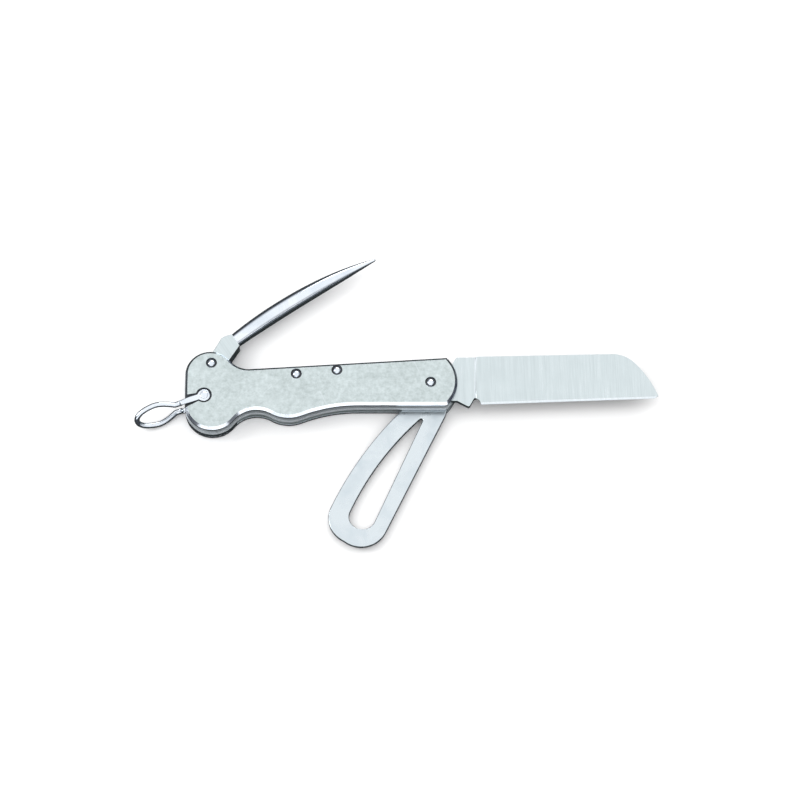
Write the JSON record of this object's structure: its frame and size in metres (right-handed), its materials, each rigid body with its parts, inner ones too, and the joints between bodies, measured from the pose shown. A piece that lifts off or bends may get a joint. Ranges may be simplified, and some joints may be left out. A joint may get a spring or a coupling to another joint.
{
  "type": "rigging knife",
  "caption": "Folding stainless rigging knife, opened out: sheepfoot blade, curved marlin spike, looped shackle key with a tapered slot, and a wire lanyard bail.",
  "frame": {"origin": "on the axis of the blade pivot, at the outer face of the back scale, which lies on the table", "axes": "+X from the pivot along the opened blade, +Y towards the back of the handle, +Z through the handle from the back scale to the front scale"},
  "size_m": [0.21, 0.124, 0.0109],
  "materials": {
    "blasted_steel": "bead-blasted stainless steel with a polished bevel",
    "liner_steel": "ground stainless steel",
    "blade_steel": "satin-ground stainless steel",
    "spike_steel": "polished stainless steel",
    "key_steel": "tumbled stainless plate with softened edges",
    "wire_steel": "bright drawn stainless wire",
    "rivet_steel": "bright stainless steel, peened",
    "washer_bronze": "thin phosphor-bronze shim"
  },
  "bodies": {
    "handle": {"front_scale": "blasted_steel", "back_scale": "blasted_steel", "centre_liner": "liner_steel", "head_spacer": "liner_steel", "backspring": "liner_steel", "blade_pivot_rivet": "rivet_steel", "spike_pivot_rivet": "rivet_steel", "front_spring_rivet": "rivet_steel", "rear_spring_rivet": "rivet_steel", "bail_pin": "rivet_steel", "bail_pin_collar": "rivet_steel", "key_washer_back": "washer_bronze", "key_washer_front": "washer_bronze", "blade_washer_back": "washer_bronze", "blade_washer_front": "washer_bronze", "spike_washer_back": "washer_bronze", "spike_washer_front": "washer_bronze"},
    "blade": {"blade": "blade_steel"},
    "spike": {"marlin_spike": "spike_steel"},
    "key": {"shackle_key": "key_steel"},
    "bail": {"bail": "wire_steel"}
  },
  "joints": [
    {"name": "blade_pivot", "type": "hinge", "parent": "handle", "child": "blade", "pos_m": [0, 0, 0.0072], "axis": [0, 0, 1], "range_deg": [-171, 0]},
    {"name": "spike_pivot", "type": "hinge", "parent": "handle", "child": "spike", "pos_m": [-0.088, 0.0083, 0.00525], "axis": [0, 0, 1], "range_deg": [-32, 138]},
    {"name": "key_pivot", "type": "hinge", "parent": "handle", "child": "key", "pos_m": [0, 0, 0.0031], "axis": [0, 0, 1], "range_deg": [-57, 113]},
    {"name": "bail_swing", "type": "hinge", "parent": "handle", "child": "bail", "pos_m": [-0.0908, -0.0056, 0.00525], "axis": [0, 0, 1], "range_deg": [-8.5, 8.5]}
  ]
}
